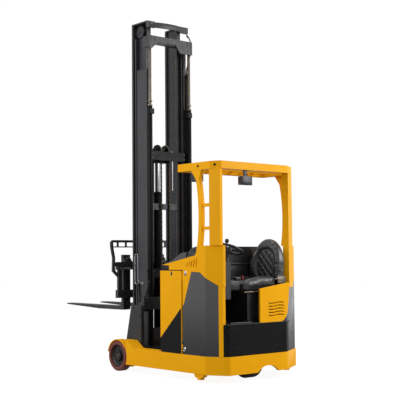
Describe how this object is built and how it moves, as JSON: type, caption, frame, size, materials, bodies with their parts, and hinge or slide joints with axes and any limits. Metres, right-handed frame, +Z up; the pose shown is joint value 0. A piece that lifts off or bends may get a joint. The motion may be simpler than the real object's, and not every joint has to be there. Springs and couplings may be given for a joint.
{
  "type": "reach truck",
  "caption": "Sit-on battery reach truck with a three-stage mast, reach carriage, tilting and side-shifting forks, load legs and a driver's guard.",
  "frame": {"origin": "on the floor, under the middle of the truck's length and width", "axes": "+X forward to the fork tips, +Y to the truck's left, +Z up along the mast"},
  "size_m": [3.235, 1.27, 3.92],
  "materials": {
    "yellow_paint": "satin",
    "black_paint": "satin",
    "mast_paint": "satin",
    "grey_paint": "satin",
    "steel": "polished",
    "tyre": "satin",
    "black_plastic": "matte",
    "seat_cover": "satin"
  },
  "bodies": {
    "chassis": {"chassis_base": "yellow_paint", "skid_feet": "yellow_paint", "leg_left": "yellow_paint", "leg_right": "yellow_paint", "load_axles": "steel", "battery": "grey_paint", "battery_hood": "grey_paint", "side_panel_left": "black_paint", "side_panel_right": "black_paint", "side_plate_left": "yellow_paint", "side_plate_right": "yellow_paint", "corner_posts": "yellow_paint", "rear_panel": "black_paint", "rear_cover": "yellow_paint", "floor_step": "black_plastic", "front_wall": "black_plastic", "console": "black_plastic", "pedals": "grey_paint", "seat_base": "black_plastic", "seat_cushion": "seat_cover", "seat_back": "seat_cover", "guard_roof": "yellow_paint", "guard_posts_left": "yellow_paint", "guard_posts_right": "yellow_paint", "work_lamps": "black_plastic", "reach_barrels": "black_paint"},
    "load_wheel_left": {"load_tyre_left": "tyre", "load_hub_left": "black_paint"},
    "load_wheel_right": {"load_tyre_right": "tyre", "load_hub_right": "black_paint"},
    "drive_unit": {"drive_gear": "black_paint", "drive_motor": "grey_paint"},
    "drive_wheel": {"drive_tyre": "tyre", "drive_hub": "grey_paint"},
    "door": {"service_door": "yellow_paint"},
    "steering_wheel": {"steering_wheel": "black_plastic"},
    "reach_carriage": {"reach_frame": "mast_paint", "reach_rollers": "black_paint", "reach_rods": "steel", "outer_rail_left": "mast_paint", "outer_rail_right": "mast_paint", "outer_ties": "mast_paint", "lift_barrels": "black_paint"},
    "mast_middle": {"middle_rail_left": "mast_paint", "middle_rail_right": "mast_paint", "middle_ties": "mast_paint", "lift_rods": "steel"},
    "mast_inner": {"inner_rail_left": "mast_paint", "inner_rail_right": "mast_paint", "inner_ties": "mast_paint", "free_lift_barrel": "black_paint"},
    "lift_head": {"lift_head": "black_paint"},
    "lift_carriage": {"lift_carriage": "mast_paint"},
    "tilt_frame": {"tilt_frame": "mast_paint"},
    "fork_carriage": {"fork_frame": "mast_paint", "load_backrest": "mast_paint", "fork_left": "black_paint", "fork_right": "black_paint"}
  },
  "joints": [
    {"name": "load_wheel_left_roll", "type": "hinge", "parent": "chassis", "child": "load_wheel_left", "pos_m": [0.0825, 0.585, 0.165], "axis": [0, 1, 0], "continuous": true},
    {"name": "load_wheel_right_roll", "type": "hinge", "parent": "chassis", "child": "load_wheel_right", "pos_m": [0.0825, -0.585, 0.165], "axis": [0, 1, 0], "continuous": true},
    {"name": "drive_steer", "type": "hinge", "parent": "chassis", "child": "drive_unit", "pos_m": [-1.3275, 0, 0.4], "axis": [0, 0, 1], "range_deg": [-90, 90]},
    {"name": "drive_roll", "type": "hinge", "parent": "drive_unit", "child": "drive_wheel", "pos_m": [-1.3275, 0, 0.175], "axis": [0, 1, 0], "continuous": true},
    {"name": "door_hinge", "type": "hinge", "parent": "chassis", "child": "door", "pos_m": [-1.0455, 0.627, 0.7], "axis": [0, 0, 1], "range_deg": [0, 90]},
    {"name": "steering_wheel_turn", "type": "hinge", "parent": "chassis", "child": "steering_wheel", "pos_m": [-1.4175, 0.31, 1.315], "axis": [0, -0.3843, 0.9232], "continuous": true},
    {"name": "reach", "type": "slide", "parent": "chassis", "child": "reach_carriage", "axis": [1, 0, 0], "range_m": [-0.49, 0.03]},
    {"name": "mast_middle_lift", "type": "slide", "parent": "reach_carriage", "child": "mast_middle", "axis": [0, 0, 1], "range_m": [0, 2.25]},
    {"name": "mast_inner_lift", "type": "slide", "parent": "mast_middle", "child": "mast_inner", "axis": [0, 0, 1], "range_m": [0, 2.25]},
    {"name": "fork_lift", "type": "slide", "parent": "mast_inner", "child": "lift_carriage", "axis": [0, 0, 1], "range_m": [-0.57, 2.3]},
    {"name": "lift_head_rise", "type": "slide", "parent": "mast_inner", "child": "lift_head", "axis": [0, 0, 1], "range_m": [-0.285, 1.15]},
    {"name": "fork_tilt", "type": "hinge", "parent": "lift_carriage", "child": "tilt_frame", "pos_m": [0.3075, 0, 0.83], "axis": [0, 1, 0], "range_deg": [-4, 2]},
    {"name": "side_shift", "type": "slide", "parent": "tilt_frame", "child": "fork_carriage", "axis": [0, 1, 0], "range_m": [-0.07, 0.07]}
  ],
  "couplings": [
    {"joint": "mast_inner_lift", "follows": "mast_middle_lift", "ratio": 1},
    {"joint": "lift_head_rise", "follows": "fork_lift", "ratio": 0.5}
  ]
}
